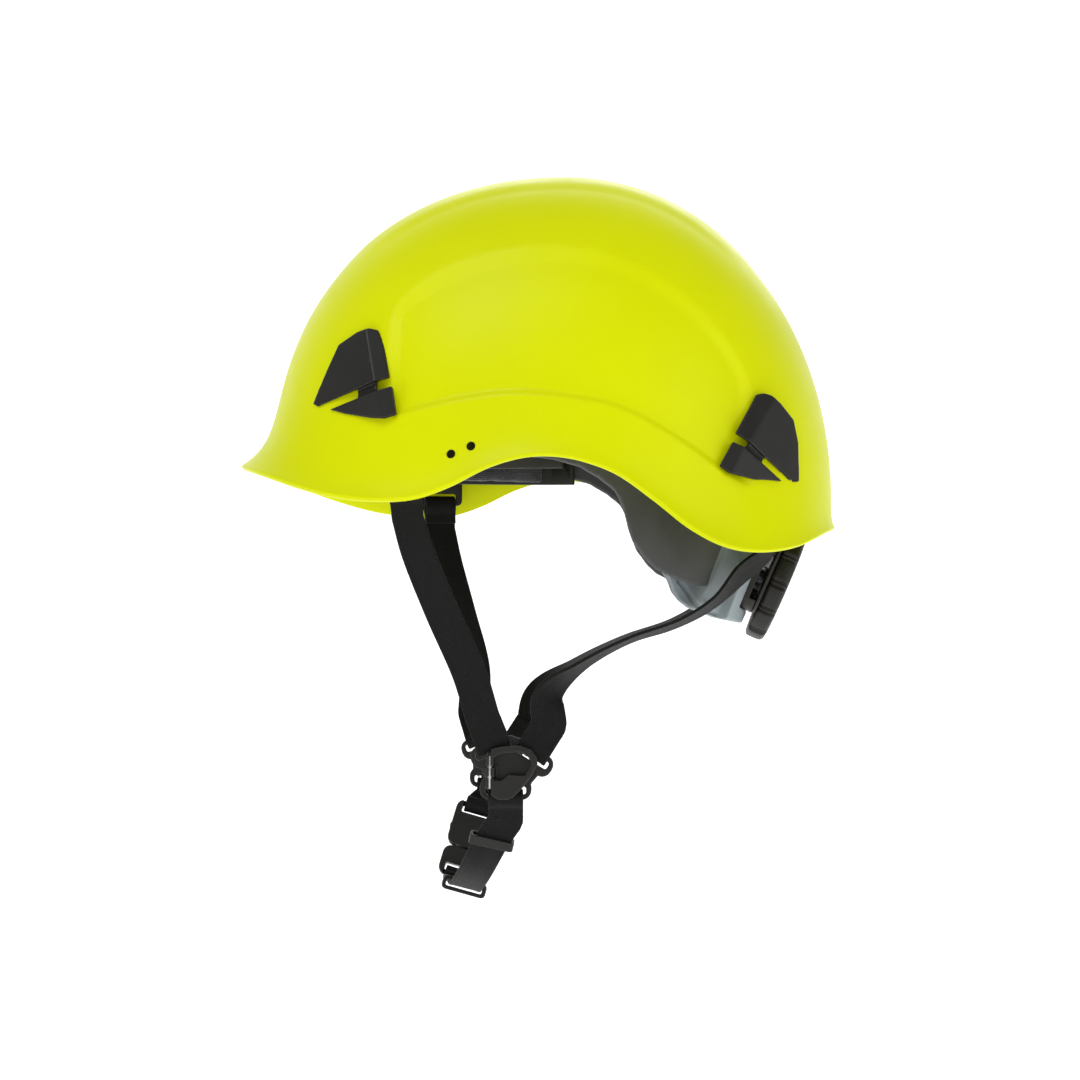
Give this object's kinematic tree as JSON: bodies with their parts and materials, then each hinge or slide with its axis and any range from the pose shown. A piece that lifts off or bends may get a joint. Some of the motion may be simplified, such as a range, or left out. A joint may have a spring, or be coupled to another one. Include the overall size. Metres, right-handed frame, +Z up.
{
  "type": "climbing helmet",
  "caption": "Climbing work helmet with a smooth dome shell, lamp clips, webbing cradle, ratchet headband and a buckled chin strap.",
  "frame": {"origin": "middle of the head opening, level with the lower edge of the headband", "axes": "+Z up through the crown, -X the front, +Y the wearer's right"},
  "size_m": [0.2889, 0.2156, 0.3514],
  "materials": {
    "shell": "moulded, glossy",
    "black_nylon": "moulded, satin",
    "webbing": "woven",
    "slate_plastic": "moulded, satin",
    "grey_plastic": "moulded, satin",
    "foam": "knitted cover over foam",
    "liner_foam": "expanded foam",
    "steel": "plated"
  },
  "bodies": {
    "helmet": {"shell": "shell", "lamp_clip_front_left": "black_nylon", "strap_anchor_front_left": "black_nylon", "clip_retainer_front_left": "steel", "front_strap_left": "webbing", "lamp_clip_front_right": "black_nylon", "strap_anchor_front_right": "black_nylon", "clip_retainer_front_right": "steel", "front_strap_right": "webbing", "lamp_clip_rear_left": "black_nylon", "strap_anchor_rear_left": "black_nylon", "clip_retainer_rear_left": "steel", "rear_strap_left": "webbing", "lamp_clip_rear_right": "black_nylon", "strap_anchor_rear_right": "black_nylon", "clip_retainer_rear_right": "steel", "rear_strap_right": "webbing", "hanger_front_left": "black_nylon", "hanger_front_right": "black_nylon", "hanger_side_left": "black_nylon", "hanger_side_right": "black_nylon", "hanger_rear_left": "black_nylon", "hanger_rear_right": "black_nylon", "side_plate_left": "slate_plastic", "plate_rivet_left": "steel", "lever_pin_left": "steel", "strap_divider_left": "black_nylon", "chin_strap_left": "webbing", "side_plate_right": "slate_plastic", "plate_rivet_right": "steel", "lever_pin_right": "steel", "strap_divider_right": "black_nylon", "chin_strap_right": "webbing", "impact_liner": "liner_foam", "sweatband": "foam", "cradle_strap_side": "webbing", "cradle_strap_from_right": "webbing", "cradle_strap_from_left": "webbing", "headband": "black_nylon", "buckle_female": "black_nylon", "strap_keeper": "black_nylon"},
    "nape": {"nape_cradle": "grey_plastic", "ratchet_housing": "black_nylon", "ratchet_cover": "black_nylon"},
    "knob": {"size_knob": "black_nylon", "knob_screw": "steel", "knob_pinion": "steel"},
    "rack_left_body": {"rack_left": "slate_plastic"},
    "rack_right_body": {"rack_right": "slate_plastic"},
    "lever_left_body": {"divider_lever_left": "black_nylon"},
    "lever_right_body": {"divider_lever_right": "black_nylon"},
    "chin_strap_body": {"chin_strap_lower": "webbing", "buckle_male": "black_nylon", "chin_slider": "black_nylon"},
    "prong_front_body": {"buckle_prong_front": "black_nylon"},
    "prong_rear_body": {"buckle_prong_rear": "black_nylon"}
  },
  "joints": [
    {"name": "nape_slide", "type": "slide", "parent": "helmet", "child": "nape", "axis": [-1, 0, 0], "range_m": [0, 0.02]},
    {"name": "knob_turn", "type": "hinge", "parent": "nape", "child": "knob", "pos_m": [0.1068, 0, -0.0564], "axis": [-0.9164, 0, 0.4003], "range_deg": [0, 191.5]},
    {"name": "rack_left_slide", "type": "slide", "parent": "nape", "child": "rack_left_body", "axis": [0, 1, 0], "range_m": [0, 0.0201]},
    {"name": "rack_right_slide", "type": "slide", "parent": "nape", "child": "rack_right_body", "axis": [0, -1, 0], "range_m": [0, 0.0201]},
    {"name": "lever_left_swing", "type": "hinge", "parent": "helmet", "child": "lever_left_body", "pos_m": [-0.028, -0.0716, -0.1432], "axis": [0, 0, -1], "range_deg": [0, 75]},
    {"name": "lever_right_swing", "type": "hinge", "parent": "helmet", "child": "lever_right_body", "pos_m": [-0.0425, 0.0666, -0.1467], "axis": [0, 0, 1], "range_deg": [0, 75]},
    {"name": "chin_strap_swing", "type": "hinge", "parent": "helmet", "child": "chin_strap_body", "pos_m": [-0.03194, -0.05383, -0.183], "axis": [-0.9448, -0.1243, 0.3032], "range_deg": [0, 70]},
    {"name": "prong_front_press", "type": "hinge", "parent": "chin_strap_body", "child": "prong_front_body", "pos_m": [-0.05192, 0.04115, -0.18734], "axis": [-0.0667, 0.9703, -0.2325], "range_deg": [0, 9], "stiffness_Nm_per_rad": 0.05},
    {"name": "prong_rear_press", "type": "hinge", "parent": "chin_strap_body", "child": "prong_rear_body", "pos_m": [-0.04076, 0.04115, -0.19054], "axis": [0.0667, -0.9703, 0.2325], "range_deg": [0, 9], "stiffness_Nm_per_rad": 0.05}
  ],
  "couplings": [
    {"joint": "knob_turn", "follows": "nape_slide", "rad_per_m": 166.67},
    {"joint": "rack_left_slide", "follows": "nape_slide", "ratio": 1},
    {"joint": "rack_right_slide", "follows": "nape_slide", "ratio": 1}
  ]
}
